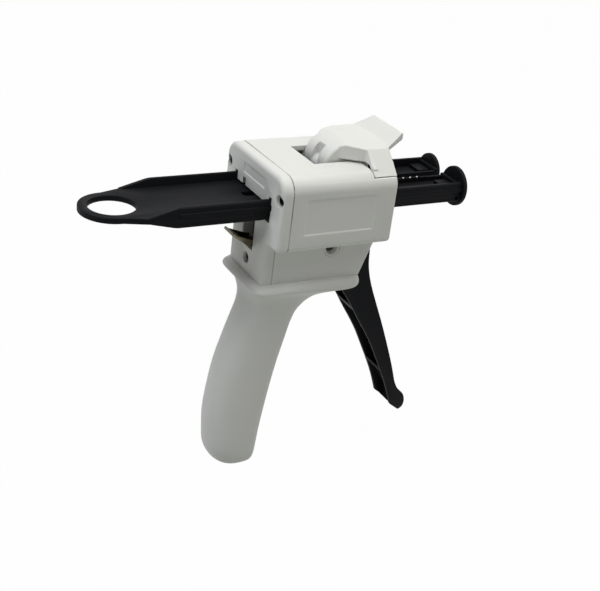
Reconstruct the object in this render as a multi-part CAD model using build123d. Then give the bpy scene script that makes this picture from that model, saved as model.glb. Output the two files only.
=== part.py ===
from build123d import *
import math
import os

os.makedirs("parts", exist_ok=True)

# Hand-held dispensing gun for double-barrel cartridges. Millimetres. The origin is on the plunger's
# axis in the front face of the housing, where the cartridge seats. +X is the way the plunger pushes,
# +Y is to the left and +Z is up.

# Clearances
run_fit = 0.05
slide_gap = 0.35
near_gap = 0.3
tooth_gap = 0.4

# Upper housing
box_length = 61.0
box_half = 30.0
box_top = 17.7
box_bottom = -18.5
top_corner = 8.0
low_corner = 3.0
wall = 2.8
cover_thick = 5.6
seam_chamfer = 0.35
front_wall = 3.2
bay_depth = 12.7
shoulder_z = 14.6
edge_round = 1.2

# Lower body under the housing
body_half = 18.0
body_bottom = -40.3
body_front_top = -1.2
body_front_low = -7.0
slant_top = -24.0
tongue_round = 2.5

# Cartridge cradle and plunger axis spacing
rod_offset = 11.46
cradle_r = 12.6
large_disc_r = 10.0
small_disc_r = 8.49
disc_thick = 2.1
disc_front = 48.1

# Plunger channel
channel_half = 19.0
channel_top = 4.4
channel_low = -5.5
channel_wall = 2.0
floor_top = 0.3
floor_thick = 2.7
rib_out = 0.8
rib_low = -0.5
rib_top = 1.5
edge_chamfer = 0.6
flank_end = -105.5
flank_run = 15.0
fork_root = -66.4
fork_half = 2.4
lip_wide = 1.6
lip_top = 2.7
lip_start = 2.0
ring_x = -130.0
ring_r = 15.2
ring_hole = 11.0
flare_x = -118.0
stud_x = 21.6
stud_pitch = 4.1
stud_count = 3
stud_r = 0.8
stud_high = 0.5

# Rack under the plunger
rack_pitch = 4.0
rack_root = -4.4
rack_tip = -6.0
rack_half = 2.5
rack_start = -98.0
rack_teeth = 34

# Snap peg of a pressing disc
peg_deep = 9.0
peg_high = 1.6
peg_half = 4.5
snap_r = 1.0
snap_x = 44.2
snap_z = -3.6

# Rear cover
slot_inner = 16.6
slot_top = 5.3
slot_low = -7.0
tongue_low = 1.2
notch_y = 9.3
notch_half = 1.5
notch_top = 4.6
window_half = 5.6
window_low = -27.0
label_half = 11.3
label_low = 6.7
label_top = 11.9
label_deep = 0.4
screw_inset = 3.5
screw_z = 6.8
low_screw_z = -32.9
screw_head_r = 2.5
screw_head_high = 1.8
screw_sink = 3.4
screw_r = 1.4
screw_spare = 0.5
recess_r = 2.9
hole_r = 1.7
post_r = 3.0
post_deep = 13.0
post_floor = 1.0
drive_slot = 0.7

# Side panel recess
panel_back = -48.1
panel_front = -11.0
panel_low = -10.2
panel_high = 7.4
panel_deep = 0.4

# Trigger
trigger_half = 9.0
trigger_ribs = [(7.6, -70.0, 29.3), (27.0, -108.0, 24.0)]
trigger_wall = 2.2
pivot_x = -24.6
pivot_z = -23.8
pin_r = 2.5
pin_sink = 1.5
boss_r = 5.0
hub_r = 4.9
hub_inner = 5.2
rim_r = 4.4
rim_high = 0.4
rim_hole = 3.15
washer_thick = 0.8
rib_thick = 1.8
rib_long = 26.0
room_ahead = 9.0
room_rise = 3.0
room_end = (20.0, -125.0)

# Driving pawl on the trigger
pawl_behind = 6.9
pawl_z = -14.5
pawl_pin_r = 1.5
pawl_hub_r = 2.9
pawl_reach = 7.4
pawl_side_gap = 0.4
pawl_bar_r = 1.2
pawl_bar_along = 6.4
coil_wire = 0.8

# Release lever at the rear window
lever_ahead = 5.6
lever_z = -22.0
lever_pin_r = 1.5
lever_hub_r = 2.8
lever_half = 5.0
lever_thick = 1.2
lever_tip_ahead = 5.4
lever_bend_z = -24.6
lever_bend_out = 0.5
lever_end_z = -18.2
lever_out = 10.0
lever_boss_long = 1.5
lever_coil_half = 4.0

# Latch on top
latch_x = -25.0
latch_z = 12.6
latch_pin_r = 1.6
latch_hub_r = 4.4
latch_half = 10.4
cutout_back = -36.5
cutout_half = 12.0
lug_gap = 3.0
notch_front = -26.0
coil_half = 2.0
coil_r = 3.2
lug_round = 1.4
flare_back = -23.0
skirt_low = 18.9
skirt_inset = 2.6
latch_top = 26.6
latch_edge = 25.0
saddle_half = 17.4
saddle_back = -12.2
saddle_step = 0.1
flap_inset = 2.1
flap_thick = 2.4
tab_reach = 10.2
tab_rise = 4.25
tab_half = 13.0
tab_thick = 3.9
tab_root = 1.2
tab_drop = 1.55
tab_inset = 0.5
tab_round = 0.9
skin = 2.2
press_low = 12.4
ear_deep = 4.2

# Rear and top outline of the latch in the XZ plane
latch_rise = [
    (-29.4, 12.6), (-29.8, 15.8), (-28.8, 19.4), (-26.4, 22.6), (-23.7, 24.4), (-20.5, 25.8), (-16.0, 26.8),
    (-9.0, 27.2), (0.0, 27.2),
]

# Grip
collar_half = 21.2
collar_out = 3.8
collar_front = -5.0
collar_high = 6.2
collar_round = 3.0
collar_rear_corner = 8.0
collar_front_corner = 7.0
grip_wall = 2.8
grip_bottom = -147.6
slot_half = 11.0
slot_back = -27.0
slot_depth = 19.0
spigot_high = 3.4
spigot_wall = 2.4
spigot_ahead = 3.9
spigot_front = -31.0

# Grip cross-sections: height, rear from the collar's back, front, half thickness
grip_sections = [
    (-44.0, 1.4, -8.0, 19.2),
    (-48.5, 3.0, -20.4, 16.8),
    (-54.0, 4.2, -26.9, 14.6),
    (-60.0, 2.7, -31.9, 13.2),
    (-67.0, 0.1, -34.0, 12.4),
    (-76.0, -2.9, -36.0, 12.1),
    (-90.5, -7.0, -39.2, 12.0),
    (-104.0, -9.2, -41.6, 12.0),
    (-118.0, -10.6, -43.7, 12.0),
    (-130.0, -10.0, -45.3, 12.0),
    (-138.0, -9.1, -46.0, 11.8),
    (-143.5, -6.7, -46.4, 11.0),
    (grip_bottom, -1.2, -47.2, 9.0),
]

# Trigger outline in the XZ plane: front from the top to the tip, then the rear back up
trigger_front = [
    (-6.0, -19.4), (0.6, -22.4), (3.6, -29.0), (4.4, -37.6), (5.9, -45.4), (8.7, -53.5), (14.7, -67.2),
    (21.3, -82.4), (27.6, -98.1), (31.4, -108.5), (33.7, -115.0), (38.2, -121.6),
]
trigger_tip = [(41.9, -127.6), (41.2, -131.6), (38.6, -133.2), (33.0, -129.0)]
trigger_rear = [
    (30.4, -121.8), (27.4, -114.6), (23.3, -106.1), (18.4, -96.5), (14.1, -88.3), (8.5, -79.2), (3.9, -72.3),
    (-3.2, -61.0), (-8.9, -53.0), (-15.5, -43.8), (-22.5, -35.0), (-29.0, -28.0),
]

seam_x = -box_length + cover_thick
collar_back = -box_length - collar_out
screw_y = box_half - screw_inset
flap_foot = box_half - flap_inset
pawl_x = pivot_x - pawl_behind
inner_half = box_half - wall
body_inner = body_half - wall
bay_back = -bay_depth - wall
disc_back = disc_front - disc_thick
floor_low = floor_top - floor_thick
pawl_tip_z = rack_tip - tooth_gap
pawl_tip_x = pawl_x + pawl_reach
boss_face = trigger_half + washer_thick + 2 * run_fit
wing_inner = rod_offset - rack_half + near_gap
screw_seat = -box_length + screw_sink
lever_x = seam_x + lever_ahead
lever_tip_x = lever_x + lever_tip_ahead
lever_bend_x = -box_length - lever_bend_out
lever_end_x = -box_length - lever_out
lever_wing = body_inner - lever_boss_long - near_gap
pawl_outer = lever_wing
pawl_inner = trigger_half + pawl_side_gap
hole_end = seam_x + post_deep - post_floor
coil_gap = near_gap + coil_wire
spigot_back = seam_x + spigot_ahead
plate_z = lever_z - lever_pin_r - coil_gap - near_gap - lever_thick / 2


def block(x0, x1, y0, y1, z0, z1):
    """Box between two corners."""
    return Pos((x0 + x1) / 2, (y0 + y1) / 2, (z0 + z1) / 2) * Box(x1 - x0, y1 - y0, z1 - z0)


def bar_y(x, z, radius, y0, y1):
    """Round bar along Y."""
    return Pos(x, (y0 + y1) / 2, z) * Rot(90, 0, 0) * Cylinder(radius, y1 - y0)


def bar_x(y, z, radius, x0, x1):
    """Round bar along X."""
    return Pos((x0 + x1) / 2, y, z) * Rot(0, 90, 0) * Cylinder(radius, x1 - x0)


def slab(outline, y0, y1):
    """Plate with an XZ outline, between two Y values."""
    face = Face(Wire.make_polygon([Vector(x, y0, z) for x, z in outline]))
    return extrude(face, amount=y1 - y0, dir=(0, 1, 0))


def strap(start, end, start_half, end_half, y0, y1):
    """Flat link that tapers from one XZ point to another."""
    run_x, run_z = end[0] - start[0], end[1] - start[1]
    span = math.hypot(run_x, run_z)
    across_x, across_z = run_z / span, -run_x / span
    corners = []
    for (x, z), half in ((start, start_half), (end, end_half), (end, -end_half), (start, -start_half)):
        corners.append((x + across_x * half, z + across_z * half))
    return slab(corners, y0, y1)


def smooth_slab(front, tip, rear, y0, y1):
    """Plate whose long sides are smooth curves."""
    def at(points):
        return [Vector(x, y0, z) for x, z in points]

    sides = [
        Spline(*at(front)),
        Spline(*at([front[-1], *tip[:-1]])),
        Line(*at([tip[-2], tip[-1]])),
        Spline(*at([tip[-1], *rear])),
        Line(*at([rear[-1], front[0]])),
    ]
    return extrude(Face(Wire(sides)), amount=y1 - y0, dir=(0, 1, 0))


def both_sides(shape):
    """The shape and its mirror image across the middle plane."""
    return shape + mirror(shape, about=Plane.XZ)


def housing_section(x0, x1, inset=0.0):
    """Rounded box section of the upper housing, drawn in by an inset."""
    half = box_half - inset
    body = block(x0, x1, -half, half, box_bottom + inset, box_top - inset)
    lengthwise = body.edges().filter_by(Axis.X).group_by(Axis.Z)
    body = fillet(lengthwise[-1], top_corner - inset)
    lengthwise = body.edges().filter_by(Axis.X).group_by(Axis.Z)
    return fillet(lengthwise[0], max(low_corner - inset, 0.5))


def plunger_passage(x0, x1):
    """Room for the plunger channel, its guide ribs and the rack."""
    half = channel_half + slide_gap
    main = block(x0, x1, -half, half, slot_low, slot_top)
    reach = channel_half + rib_out + slide_gap
    return main + block(x0, x1, -reach, reach, rib_low - near_gap, rib_top + near_gap)


def main_housing():
    shell = housing_section(seam_x, 0.0)
    front = shell.faces().sort_by(Axis.X)[-1]
    shell = fillet(front.edges(), edge_round)
    rear = shell.faces().sort_by(Axis.X)[0]
    shell = chamfer(rear.edges(), seam_chamfer)
    lower = slab(
        [(seam_x, box_bottom + wall), (seam_x, body_bottom), (body_front_low, body_bottom),
         (body_front_top, slant_top), (body_front_top, box_bottom + wall)],
        -body_half, body_half)
    rear_corners = lower.edges().filter_by(Axis.Z).group_by(Axis.X)[0]
    shell += chamfer(rear_corners, seam_chamfer)
    shell -= housing_section(seam_x, bay_back, wall)
    lower_room = slab(
        [(seam_x, box_bottom + wall + 1), (seam_x, body_bottom), (1.0, body_bottom), (1.0, box_bottom),
         (bay_back - 0.5, box_bottom), (bay_back - 0.5, box_bottom + wall + 1)],
        -body_inner, body_inner)
    shell -= lower_room
    shell -= block(-bay_depth, -front_wall, -inner_half, inner_half, box_bottom + wall, box_top + 1)
    shell -= block(-bay_depth, 1.0, -box_half - 1, box_half + 1, shoulder_z, box_top + 1)
    cradle = both_sides(bar_x(rod_offset, 0.0, cradle_r, -front_wall - 1, 1.0))
    reach = rod_offset + cradle_r
    shell -= cradle + block(-front_wall - 1, 1.0, -reach, reach, 0.0, box_top + 1)
    shell -= plunger_passage(bay_back - 1, -bay_depth + 1)
    shell -= block(cutout_back, -bay_depth + 1, -cutout_half, cutout_half, box_top - wall - 1, box_top + 1)
    for side in (-1, 1):
        outer = side * box_half
        inner = side * (box_half - panel_deep)
        shell -= block(panel_back, panel_front, min(outer, inner), max(outer, inner), panel_low, panel_high)
    ears = block(latch_x - ear_deep, latch_x + ear_deep, cutout_half, cutout_half + ear_deep,
                 latch_z - ear_deep, box_top - wall)
    shell += both_sides(ears)
    shell -= bar_y(latch_x, latch_z, latch_pin_r, -cutout_half - ear_deep + 0.6, cutout_half + ear_deep - 0.6)
    bosses = bar_y(pivot_x, pivot_z, boss_r, boss_face, body_inner)
    rims = bar_y(pivot_x, pivot_z, rim_r, body_half - wall / 2, body_half + rim_high)
    shell += both_sides(bosses) + both_sides(rims)
    shell -= bar_y(pivot_x, pivot_z, pin_r, -body_half - 1, body_half + 1)
    shell -= both_sides(bar_y(pivot_x, pivot_z, rim_hole, body_half - pin_sink, body_half + 1))
    lever_boss = bar_y(lever_x, lever_z, lever_hub_r, lever_wing + near_gap, body_inner)
    shell += both_sides(lever_boss)
    shell -= bar_y(lever_x, lever_z, lever_pin_r, -body_inner - 1, body_inner + 1)
    post = bar_x(screw_y, screw_z, post_r, seam_x, seam_x + post_deep)
    shell += both_sides(post & housing_section(seam_x, bay_back))
    bulkhead = block(seam_x, seam_x + wall, -body_inner, body_inner,
                     low_screw_z - post_r, low_screw_z + post_r)
    shell += bulkhead + bar_x(0.0, low_screw_z, post_r, seam_x, seam_x + post_deep)
    for y, z in screw_places():
        shell -= bar_x(y, z, screw_r, seam_x - 1, hole_end)
    return shell


def screw_places():
    """Centres of the three cover screws, in Y and Z."""
    return [(-screw_y, screw_z), (screw_y, screw_z), (0.0, low_screw_z)]


def rear_cover():
    plate = housing_section(-box_length, seam_x)
    front = plate.faces().sort_by(Axis.X)[-1]
    plate = chamfer(front.edges(), seam_chamfer)
    tongue = block(-box_length, seam_x, -body_half, body_half, body_bottom, box_bottom + wall)
    upright = tongue.edges().filter_by(Axis.Z).group_by(Axis.X)
    tongue = fillet(upright[0], tongue_round)
    upright = tongue.edges().filter_by(Axis.Z).group_by(Axis.X)
    plate += chamfer(upright[-1], seam_chamfer)
    rim = [edge for edge in plate.faces().sort_by(Axis.X)[0].edges()
           if edge.center().Z > box_bottom + low_corner]
    plate = fillet(rim, tongue_round)
    x0, x1 = -box_length - 1, seam_x + 1
    passage = plunger_passage(x0, x1)
    passage -= block(x0, x1, -slot_inner, slot_inner, tongue_low, slot_top + 1)
    passage += block(x0, x1, notch_y - notch_half, notch_y + notch_half, tongue_low - 1, notch_top)
    plate -= passage
    plate -= block(x0, x1, -window_half, window_half, window_low, slot_low + 1)
    plate -= block(x0, -box_length + label_deep, -label_half, label_half, label_low, label_top)
    for y, z in screw_places():
        plate -= bar_x(y, z, recess_r, x0, -box_length + screw_sink)
        plate -= bar_x(y, z, hole_r, x0, x1)
    return plate


def cover_screws():
    """Three alike pan-head screws, each with a cross recess."""
    screws = []
    face = screw_seat - screw_head_high
    for y, z in screw_places():
        head = bar_x(y, z, screw_head_r, face, screw_seat)
        head = fillet(head.edges().group_by(Axis.X)[0], screw_head_high / 2 - 0.1)
        for across, high in ((screw_head_r * 1.3, drive_slot), (drive_slot, screw_head_r * 1.3)):
            head -= block(face - 1, face + screw_head_high / 2, y - across / 2, y + across / 2,
                          z - high / 2, z + high / 2)
        screws.append((head + bar_x(y, z, screw_r - run_fit, screw_seat, hole_end - screw_spare)).solid())
    return Compound(children=screws)


def guide_rails():
    """Rails inside the housing that carry the ribs of the plunger."""
    top = screw_z - post_r - near_gap
    rail = block(seam_x + near_gap, bay_back, channel_half + slide_gap, inner_half, slot_low, top)
    rail -= block(seam_x, bay_back + 1, channel_half, channel_half + rib_out + slide_gap,
                  rib_low - near_gap, rib_top + near_gap)
    left = rail.solid()
    return Compound(children=[left, mirror(left, about=Plane.XZ)])


def rack_row(side):
    """One row of saw teeth under a plunger rod."""
    outline = [(rack_start, floor_low + 0.2), (rack_start, rack_root)]
    for n in range(rack_teeth):
        x = rack_start + n * rack_pitch
        outline += [(x + 0.4, rack_tip), (x + 1.2, rack_tip), (x + rack_pitch, rack_root)]
    outline.append((rack_start + rack_teeth * rack_pitch, floor_low + 0.2))
    middle = side * rod_offset
    return slab(outline, middle - rack_half, middle + rack_half)


def plunger():
    plan = [(ring_x, ring_r), (flare_x, channel_half), (disc_back, channel_half),
            (disc_back, -channel_half), (flare_x, -channel_half), (ring_x, -ring_r)]
    face = Face(Wire.make_polygon([Vector(x, y, floor_low) for x, y in plan]))
    body = extrude(face, amount=floor_thick, dir=(0, 0, 1))
    body += Pos(ring_x, 0, floor_low + floor_thick / 2) * Cylinder(ring_r, floor_thick)
    flank = [(flank_end - flank_run, floor_top), (flank_end, channel_top), (disc_back, channel_top),
             (disc_back, channel_low), (flank_end, channel_low), (flank_end - flank_run + 2, floor_low)]
    side = slab(flank, channel_half - channel_wall, channel_half)
    outer = [edge for edge in side.edges()
             if edge.center().Y > channel_half - 0.1 and edge.length > 2 * flank_run]
    side = chamfer(outer, edge_chamfer)
    side += block(flank_end, disc_back, channel_half - channel_wall / 2, channel_half + rib_out, rib_low, rib_top)
    body += both_sides(side)
    body += both_sides(block(lip_start, disc_back, fork_half - 1, fork_half + lip_wide, floor_low, lip_top))
    fork_end = fork_root + fork_half
    body -= block(fork_end, disc_back + 1, -fork_half, fork_half, floor_low - 1, lip_top + 1)
    body -= Pos(fork_end, 0, floor_low) * Cylinder(fork_half, 3 * floor_thick)
    body += rack_row(-1) + rack_row(1)
    end_plate = block(disc_back - channel_wall, disc_back, fork_half, channel_half - edge_chamfer,
                      channel_low + edge_chamfer, channel_top - edge_chamfer)
    body += both_sides(end_plate)
    peg = block(disc_back - peg_deep, disc_back + 1, rod_offset - peg_half - run_fit,
                rod_offset + peg_half + run_fit, floor_top, floor_top + peg_high + run_fit)
    body -= both_sides(peg)
    body -= bar_y(snap_x, snap_z, snap_r, -channel_half - 1, -channel_half + channel_wall + 0.5)
    body -= bar_y(snap_x, snap_z, snap_r, channel_half - channel_wall - 0.5, channel_half + 1)
    body -= Pos(ring_x, 0, floor_low + floor_thick / 2) * Cylinder(ring_hole, floor_thick + 2)
    for n in range(stud_count):
        place = Pos(stud_x + n * stud_pitch, -fork_half - lip_wide / 2, lip_top + stud_high / 2 - 0.1)
        body += place * Cylinder(stud_r, stud_high + 0.2)
    return body


def pressing_disc(side, radius):
    """Disc on a rod's end, with the flat peg that snaps into the rod."""
    disc = bar_x(side * rod_offset, 0.0, radius, disc_back, disc_front)
    disc = fillet(disc.edges(), 0.4)
    middle = side * rod_offset
    disc += block(disc_back - peg_deep + near_gap, disc_back + 0.5, middle - peg_half, middle + peg_half,
                  floor_top, floor_top + peg_high)
    return disc


def trigger_body():
    full = smooth_slab(trigger_front, trigger_tip, trigger_rear, -trigger_half, trigger_half)
    web = trigger_wall
    inner_front = [(x - web, z - web * 0.3) for x, z in trigger_front[1:]]
    cheek = trigger_half - trigger_wall
    room = smooth_slab(inner_front, [(x - 2 * web, z + web) for x, z in trigger_tip[:-1]] + [room_end],
                       [(x - room_ahead, z + room_rise) for x, z in trigger_rear], -cheek, cheek)
    body = full - room
    for x, z, lean in trigger_ribs:
        rib = Pos(x, 0, z) * Rot(0, lean, 0) * Box(rib_long, 2 * cheek + 1, rib_thick)
        body += rib & full
    body += bar_y(pivot_x, pivot_z, hub_r, -trigger_half, trigger_half)
    arm = strap((pivot_x, pivot_z), (pawl_x, pawl_z), hub_r - 1, pawl_hub_r, hub_inner, trigger_half)
    arm += bar_y(pawl_x, pawl_z, pawl_hub_r, hub_inner, trigger_half)
    body += both_sides(arm)
    body -= bar_y(pivot_x, pivot_z, hub_r + 0.6, -hub_inner, hub_inner)
    body -= bar_y(pivot_x, pivot_z, pin_r + run_fit, -trigger_half - 1, trigger_half + 1)
    body -= bar_y(pawl_x, pawl_z, pawl_pin_r, -pawl_inner, pawl_inner)
    return body


def trigger_pin():
    pin = bar_y(pivot_x, pivot_z, pin_r, -body_half + pin_sink, body_half - pin_sink)
    return chamfer(pin.edges(), 0.4)


def thrust_washers():
    """Washers between the trigger and the bosses."""
    ring = bar_y(pivot_x, pivot_z, boss_r - 0.2, trigger_half + run_fit, trigger_half + run_fit + washer_thick)
    ring -= bar_y(pivot_x, pivot_z, pin_r + run_fit, trigger_half, trigger_half + 2)
    left = ring.solid()
    return Compound(children=[left, mirror(left, about=Plane.XZ)])


def return_spring():
    """Torsion coil around the trigger's pin."""
    coil = bar_y(pivot_x, pivot_z, hub_r - 0.3, -hub_inner + near_gap, hub_inner - near_gap)
    coil -= bar_y(pivot_x, pivot_z, pin_r + near_gap, -hub_inner, hub_inner)
    return coil.solid()


def drive_pawl():
    """Steel pawl with a finger for each rack row, joined by a bar."""
    fingers = slab(
        [(pawl_x - 1.8, pawl_z + 2.0), (pawl_tip_x - 1.6, pawl_tip_z), (pawl_tip_x, pawl_tip_z),
         (pawl_tip_x + 0.2, pawl_tip_z - 1.6), (pawl_x + 2.2, pawl_z - 1.8)],
        pawl_inner, pawl_outer)
    fingers += bar_y(pawl_x, pawl_z, pawl_hub_r, pawl_inner, pawl_outer)
    body = both_sides(fingers)
    span = math.hypot(pawl_reach, pawl_tip_z - pawl_z)
    share = pawl_bar_along / span
    body += bar_y(pawl_x + share * pawl_reach, pawl_z + share * (pawl_tip_z - pawl_z), pawl_bar_r,
                  -pawl_inner - 1, pawl_inner + 1)
    body -= bar_y(pawl_x, pawl_z, pawl_pin_r + run_fit, -body_half, body_half)
    return body


def pawl_pin():
    return bar_y(pawl_x, pawl_z, pawl_pin_r, -pawl_outer, pawl_outer)


def small_coil(x, z, pin_radius, half):
    """Envelope of a torsion coil around a small pin."""
    coil = bar_y(x, z, pin_radius + coil_gap, -half, half)
    coil -= bar_y(x, z, pin_radius + near_gap, -half - 1, half + 1)
    return coil.solid()


def pawl_spring():
    """Torsion coil that holds the driving pawl up against the rack."""
    return small_coil(pawl_x, pawl_z, pawl_pin_r, hub_inner - near_gap)


def release_lever():
    """Bent steel lever: fingers that hold the rack and a tail through the rear window."""
    t = lever_thick
    tail = slab(
        [(lever_x + lever_hub_r, plate_z + t / 2), (lever_bend_x, lever_bend_z + t / 2),
         (lever_end_x, lever_end_z + t / 2), (lever_end_x - t / 2, lever_end_z - t / 2),
         (lever_bend_x - t / 4, lever_bend_z - t / 2), (lever_x + lever_hub_r, plate_z - t / 2)],
        -lever_half, lever_half)
    bridge = block(lever_x - lever_hub_r, lever_x + lever_hub_r, -lever_wing, lever_wing,
                   plate_z - t / 2, plate_z + t / 2)
    finger = slab(
        [(lever_x - lever_hub_r, plate_z - t / 2), (lever_x - lever_hub_r, lever_z + 1.0),
         (lever_tip_x - 2.8, pawl_tip_z - 4.0), (lever_tip_x - 1.4, pawl_tip_z), (lever_tip_x, pawl_tip_z),
         (lever_tip_x + 0.2, pawl_tip_z - 2.0), (lever_x + lever_hub_r, lever_z + 1.0),
         (lever_x + lever_hub_r, plate_z - t / 2)],
        wing_inner, lever_wing)
    body = tail + bridge + both_sides(finger)
    body -= bar_y(lever_x, lever_z, lever_pin_r + run_fit, -body_half, body_half)
    return body


def release_pin():
    return bar_y(lever_x, lever_z, lever_pin_r, -body_inner - 1, body_inner + 1)


def release_spring():
    """Torsion coil that turns the release lever back against the rack."""
    return small_coil(lever_x, lever_z, lever_pin_r, lever_coil_half)


def crowned_bar(x0, x1):
    """Block under the arched top of the latch."""
    half, low, edge = saddle_half, box_bottom, latch_edge - saddle_step
    arch = ThreePointArc((x0, -half, edge), (x0, 0, latch_top - saddle_step), (x0, half, edge))
    base = Polyline((x0, half, edge), (x0, half, low), (x0, -half, low), (x0, -half, edge))
    return extrude(Face(Wire([arch, *base.edges()])), amount=x1 - x0, dir=(1, 0, 0))


def risen_bar(half):
    """Bar along Y whose back and top follow the rounded rise of the latch."""
    rise = Spline(*[Vector(x, -half, z) for x, z in latch_rise])
    start, end = latch_rise[0], latch_rise[-1]
    under = [end, (0.0, shoulder_z), (latch_x + 2 * latch_hub_r, box_top - 2.2), (latch_x + latch_hub_r, latch_z),
             start]
    base = Polyline(*[Vector(x, -half, z) for x, z in under])
    return extrude(Face(Wire([rise, *base.edges()])), amount=2 * half, dir=(0, 1, 0))


def latch_core():
    """Middle of the latch: two lugs round the pin, rounded up to the top, with a barrel between them."""
    core = risen_bar(latch_half)
    rims = [edge for edge in core.edges()
            if abs(edge.center().Y) > latch_half - 0.1 and edge.length > 2 * latch_half and edge.center().Z > box_top]
    core = fillet(rims, lug_round) & crowned_bar(latch_x - 2 * latch_hub_r, 0.0)
    rear = latch_x - 2 * latch_hub_r
    core -= block(rear, notch_front, -lug_gap, lug_gap, latch_z, latch_top + 1)
    core += bar_y(latch_x, latch_z, latch_hub_r, -latch_half, latch_half)
    room = coil_r + near_gap
    core -= bar_y(latch_x, latch_z, room, -coil_half, coil_half)
    return core - block(rear, latch_x + room, -coil_half, coil_half, latch_z - 2 * latch_hub_r, latch_z)


def flared_block(front, low, inset=0.0):
    """Block that widens from the lugs to the flaps, drawn in by an inset."""
    narrow, wide = latch_half - inset, saddle_half - inset
    plan = [(flare_back, -narrow), (saddle_back, -wide), (front, -wide), (front, wide), (saddle_back, wide),
            (flare_back, narrow)]
    face = Face(Wire.make_polygon([Vector(x, y, low) for x, y in plan]))
    return extrude(face, amount=latch_top + 2 * skin - low, dir=(0, 0, 1))


def top_cover():
    """Top of the latch, with its side walls, between the lugs and the flaps."""
    cover = flared_block(0.0, latch_edge - skin) + flared_block(saddle_back + flap_thick, skirt_low)
    return cover & risen_bar(saddle_half) & crowned_bar(flare_back - 1, 0.0)


def flap_wall():
    """Wall that fills the rear of the flaps, above the housing's shoulder."""
    top_y, top_z = saddle_half - skin, latch_edge - skin / 2
    outline = [(top_y, top_z), (saddle_half, top_z), (flap_foot - flap_thick, shoulder_z + 3.4), (22.0, skirt_low - 0.3),
               (top_y, skirt_low)]
    face = Face(Wire.make_polygon([Vector(saddle_back, y, z) for y, z in outline]))
    return both_sides(extrude(face, amount=flap_thick, dir=(1, 0, 0)))


def thumb_tab():
    """Tapered plate at the front of the latch, which the thumb lifts."""
    low, high = latch_edge - tab_thick / 2, latch_edge + tab_thick / 2
    side = slab([(-tab_root, low), (0.0, low), (tab_reach, low + tab_rise), (tab_reach, high + tab_rise),
                 (0.0, high - tab_drop), (-tab_root, high - tab_drop)], -saddle_half, saddle_half)
    root_half = saddle_half - tab_inset
    plan = [(-tab_root, -root_half), (0.0, -root_half), (tab_reach, -tab_half), (tab_reach, tab_half),
            (0.0, root_half), (-tab_root, root_half)]
    face = Face(Wire.make_polygon([Vector(x, y, low - 1) for x, y in plan]))
    tab = side & extrude(face, amount=tab_rise + 2 * tab_thick + 2, dir=(0, 0, 1))
    front = tab.faces().sort_by(Axis.X)[-1]
    return fillet(front.edges(), tab_round)


def latch_lever():
    body = latch_core() + top_cover()
    inner = latch_half - skin
    hollow = flared_block(-skin, 0.0, skirt_inset) & block(latch_x + latch_hub_r + 1.5, 0.0, -box_half, box_half,
                                                           0.0, latch_edge - skin)
    body -= hollow
    slope = (latch_edge - shoulder_z - slide_gap) / (flap_foot - saddle_half)
    shelf = latch_edge - slope * (flap_foot - saddle_half)
    outline = [(flap_foot - flap_thick, shelf), (flap_foot, shelf), (saddle_half, latch_edge)]
    under = [(-saddle_half + skin / 2, latch_edge - skin), (0.0, latch_top - skin - 0.6),
             (saddle_half - skin / 2, latch_edge - skin)]
    left = [(-y, z) for y, z in reversed(outline)]
    x0 = saddle_back
    arch = ThreePointArc((x0, saddle_half, latch_edge), (x0, 0, latch_top), (x0, -saddle_half, latch_edge))
    rest = Polyline(*[(x0, y, z) for y, z in left + under + outline])
    saddle = extrude(Face(Wire([arch, *rest.edges()])), amount=-x0, dir=(1, 0, 0))
    body += saddle + thumb_tab() + flap_wall()
    body += both_sides(block(-8.4, -4.6, 5.0, inner + 1, press_low, latch_edge - skin + 0.5))
    body -= bar_y(latch_x, latch_z, latch_pin_r + run_fit, -latch_half - 1, latch_half + 1)
    return body


def latch_pin():
    return bar_y(latch_x, latch_z, latch_pin_r, -cutout_half - ear_deep + 0.6, cutout_half + ear_deep - 0.6)


def latch_spring():
    """Torsion coil round the pin, under the latch's barrel."""
    half = coil_half - near_gap
    coil = bar_y(latch_x, latch_z, coil_r, -half, half)
    coil -= bar_y(latch_x, latch_z, latch_pin_r + near_gap, -half - 1, half + 1)
    return coil.solid()


def grip_outline(height, back, front, half, power=2.5, count=16):
    """Closed section of the grip, between an ellipse and a rectangle."""
    middle, reach = (back + front) / 2, (front - back) / 2
    points = []
    for n in range(count):
        turn = 2 * math.pi * n / count
        c, s = math.cos(turn), math.sin(turn)
        points.append(Vector(middle + reach * math.copysign(abs(c) ** (2 / power), c),
                             half * math.copysign(abs(s) ** (2 / power), s), height))
    return Face(Wire(Spline(*points, periodic=True)))


def grip():
    sections = [(z, collar_back + back, front, half) for z, back, front, half in grip_sections]
    body = loft([grip_outline(*section) for section in sections])
    collar = block(collar_back, collar_front, -collar_half, collar_half, body_bottom - collar_high, body_bottom)
    upright = collar.edges().filter_by(Axis.Z).group_by(Axis.X)
    collar = fillet(upright[0], collar_rear_corner)
    upright = collar.edges().filter_by(Axis.Z).group_by(Axis.X)
    collar = fillet(upright[-1], collar_front_corner)
    rims = collar.faces().sort_by(Axis.Z)
    collar = fillet(rims[0].edges() + rims[-1].edges(), collar_round)
    body += collar
    hollow = [(z, back + grip_wall, front - grip_wall, half - grip_wall)
              for z, back, front, half in sections[1:-2]]
    body -= loft([grip_outline(*section) for section in hollow])
    mouth = slot_half + 1.0
    body -= block(spigot_back + spigot_wall, slot_back, -mouth, mouth, hollow[0][0] - 6, body_bottom + 1)
    body -= block(slot_back - 0.5, 0.0, -slot_half, slot_half, body_bottom - slot_depth, body_bottom + 1)
    spigot = block(spigot_back, spigot_front, -body_inner + run_fit, body_inner - run_fit,
                   body_bottom - 1, body_bottom + spigot_high)
    spigot -= block(spigot_back + spigot_wall, spigot_front + 1, -body_inner + spigot_wall,
                    body_inner - spigot_wall, body_bottom - 5, body_bottom + spigot_high + 1)
    return body + spigot


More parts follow.
